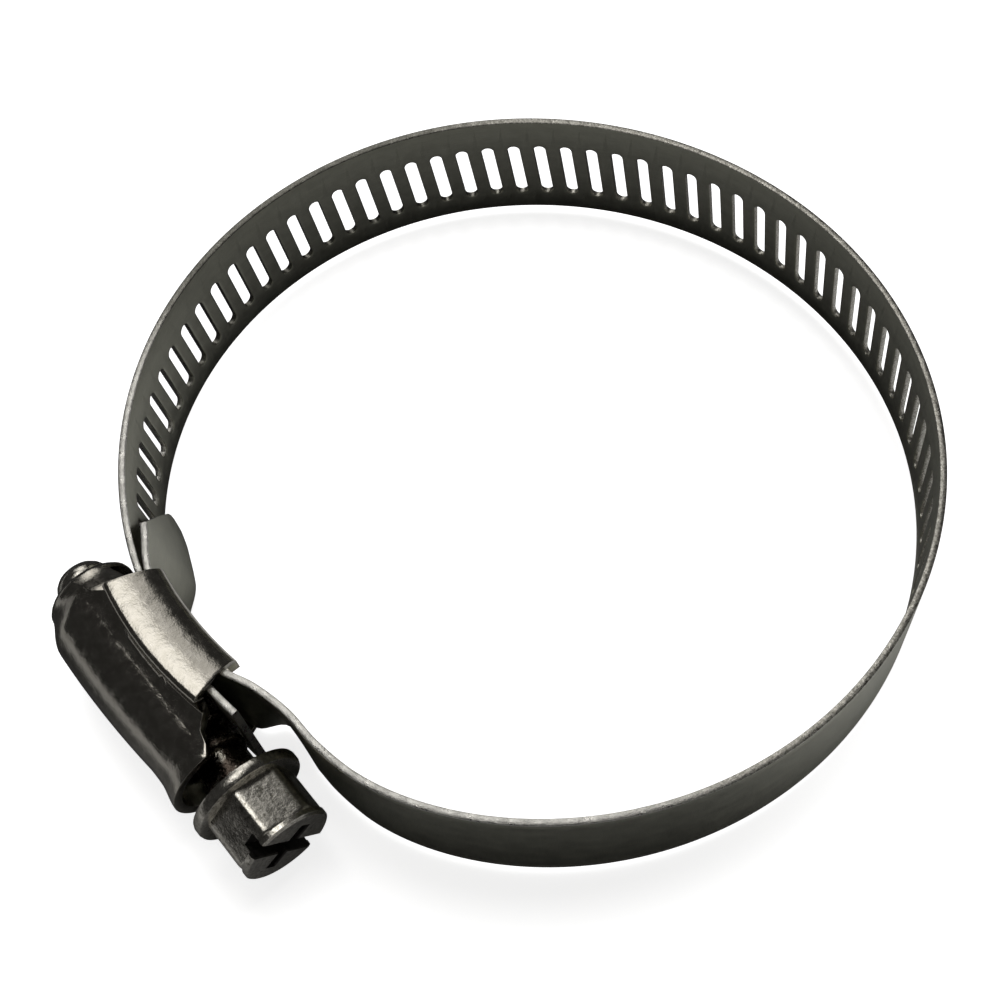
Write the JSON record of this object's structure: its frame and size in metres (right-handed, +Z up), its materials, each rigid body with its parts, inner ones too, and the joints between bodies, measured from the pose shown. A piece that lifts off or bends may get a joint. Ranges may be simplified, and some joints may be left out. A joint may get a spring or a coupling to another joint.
{
  "type": "hose clamp",
  "caption": "Worm-drive hose clamp: a perforated steel band closed into a ring by a hex-head screw in a stamped housing.",
  "frame": {"origin": "middle of the underside of the bounding box", "axes": "+Z up along the ring axis with the clamp lying flat, +X along the screw from its tip to its hex head, the housing on the -Y side of the ring"},
  "size_m": [0.0688, 0.074, 0.0145],
  "materials": {
    "band_steel": "satin stainless strip with fine rolling lines",
    "housing_steel": "polished stamping, slightly mottled",
    "screw_steel": "bright plated, mottled on the head"
  },
  "bodies": {
    "root": {"housing": "housing_steel", "band_fixed_end": "band_steel"},
    "screw": {"worm_screw": "screw_steel"},
    "link_01": {"band_plain_01": "band_steel"},
    "link_02": {"band_plain_02": "band_steel"},
    "link_03": {"band_perforated_01": "band_steel"},
    "link_04": {"band_perforated_02": "band_steel"},
    "link_05": {"band_perforated_03": "band_steel"},
    "link_06": {"band_perforated_04": "band_steel"},
    "link_07": {"band_perforated_05": "band_steel"},
    "link_08": {"band_perforated_06": "band_steel"}
  },
  "joints": [
    {"name": "screw_turn", "type": "hinge", "parent": "root", "child": "screw", "pos_m": [-0.0001, -0.03203, 0.00725], "axis": [-1, 0, 0], "range_deg": [-1440, 360]},
    {"name": "band_flex_01", "type": "hinge", "parent": "root", "child": "link_01", "pos_m": [0.01385, -0.02523, 0.00725], "axis": [0, 0, 1], "range_deg": [-2, 0.54]},
    {"name": "band_flex_02", "type": "hinge", "parent": "link_01", "child": "link_02", "pos_m": [0.03233, -0.00597, 0.00725], "axis": [0, 0, 1], "range_deg": [-2.01, 0.54]},
    {"name": "band_flex_03", "type": "hinge", "parent": "link_02", "child": "link_03", "pos_m": [0.02988, 0.02069, 0.00725], "axis": [0, 0, 1], "range_deg": [-2.04, 0.55]},
    {"name": "band_flex_04", "type": "hinge", "parent": "link_03", "child": "link_04", "pos_m": [0.01051, 0.03549, 0.00725], "axis": [0, 0, 1], "range_deg": [-2.07, 0.56]},
    {"name": "band_flex_05", "type": "hinge", "parent": "link_04", "child": "link_05", "pos_m": [-0.01388, 0.03333, 0.00725], "axis": [0, 0, 1], "range_deg": [-2.08, 0.56]},
    {"name": "band_flex_06", "type": "hinge", "parent": "link_05", "child": "link_06", "pos_m": [-0.03118, 0.016, 0.00725], "axis": [0, 0, 1], "range_deg": [-2.08, 0.56]},
    {"name": "band_flex_07", "type": "hinge", "parent": "link_06", "child": "link_07", "pos_m": [-0.03226, -0.00835, 0.00725], "axis": [0, 0, 1], "range_deg": [-2.05, 0.55]},
    {"name": "band_flex_08", "type": "hinge", "parent": "link_07", "child": "link_08", "pos_m": [-0.0158, -0.02632, 0.00725], "axis": [0, 0, 1], "range_deg": [-2.02, 0.55]}
  ],
  "couplings": [
    {"joint": "band_flex_01", "follows": "screw_turn", "ratio": 0.0013485},
    {"joint": "band_flex_02", "follows": "screw_turn", "ratio": 0.0013567},
    {"joint": "band_flex_03", "follows": "screw_turn", "ratio": 0.0013787},
    {"joint": "band_flex_04", "follows": "screw_turn", "ratio": 0.0013994},
    {"joint": "band_flex_05", "follows": "screw_turn", "ratio": 0.0014097},
    {"joint": "band_flex_06", "follows": "screw_turn", "ratio": 0.0014031},
    {"joint": "band_flex_07", "follows": "screw_turn", "ratio": 0.001384},
    {"joint": "band_flex_08", "follows": "screw_turn", "ratio": 0.0013626}
  ]
}
